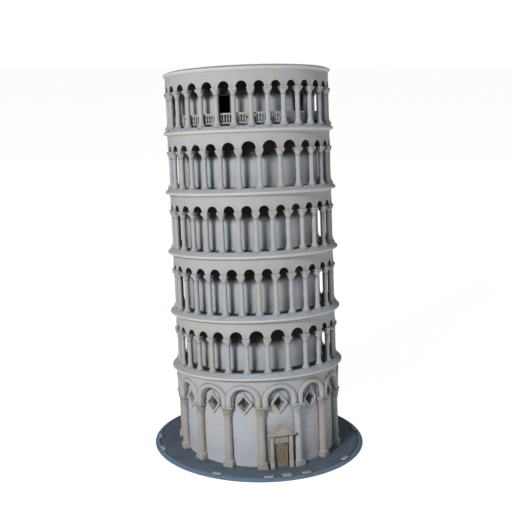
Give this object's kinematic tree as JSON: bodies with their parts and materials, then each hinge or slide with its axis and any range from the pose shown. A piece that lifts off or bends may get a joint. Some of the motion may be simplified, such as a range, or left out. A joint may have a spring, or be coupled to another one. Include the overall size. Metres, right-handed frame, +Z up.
{
  "type": "miniature landmark model",
  "caption": "Souvenir model of a leaning round bell tower with arcaded galleries on a shallow round base.",
  "frame": {"origin": "centre of the felt pad under the base, on the surface that the model stands on", "axes": "+Z straight up from the level base; -Y towards the front, where the doorway is; the tower leans back (+Y) and to the left (-X)"},
  "size_m": [0.1498, 0.1548, 0.2668],
  "materials": {
    "stone": "matte",
    "wall": "matte",
    "ground": "matte",
    "slab": "matte",
    "slate": "matte",
    "kerb": "matte",
    "door": "matte",
    "felt": "matte"
  },
  "bodies": {
    "root": {"base_dish": "slate", "base_pad": "felt", "kerb_block_1": "kerb", "kerb_block_2": "kerb", "kerb_block_3": "kerb", "kerb_block_4": "kerb", "kerb_block_5": "kerb", "kerb_block_6": "kerb", "kerb_block_7": "kerb", "kerb_block_8": "kerb", "ground_drum": "wall", "ground_column_01": "stone", "ground_column_02": "ground", "ground_column_03": "ground", "ground_column_04": "ground", "ground_column_05": "ground", "ground_column_06": "ground", "ground_column_07": "ground", "ground_column_08": "ground", "ground_column_09": "ground", "ground_column_10": "ground", "ground_column_11": "ground", "ground_column_12": "ground", "ground_column_13": "ground", "ground_column_14": "ground", "ground_column_15": "ground", "ground_arcade": "stone", "portal_jamb_left": "ground", "portal_jamb_right": "ground", "portal_lintel": "ground", "portal_pediment": "ground", "portal_door": "door", "floor_slab_1": "slab", "floor_slab_2": "slab", "floor_slab_3": "slab", "floor_slab_4": "slab", "floor_slab_5": "slab", "top_cornice": "slab", "roof_deck": "wall", "gallery_drum_1": "wall", "gallery_arcade_1": "stone", "gallery_drum_2": "wall", "gallery_arcade_2": "stone", "gallery_drum_3": "wall", "gallery_arcade_3": "stone", "gallery_drum_4": "wall", "gallery_arcade_4": "stone", "gallery_drum_5": "wall", "gallery_arcade_5": "stone", "balustrade": "stone"}
  },
  "joints": []
}
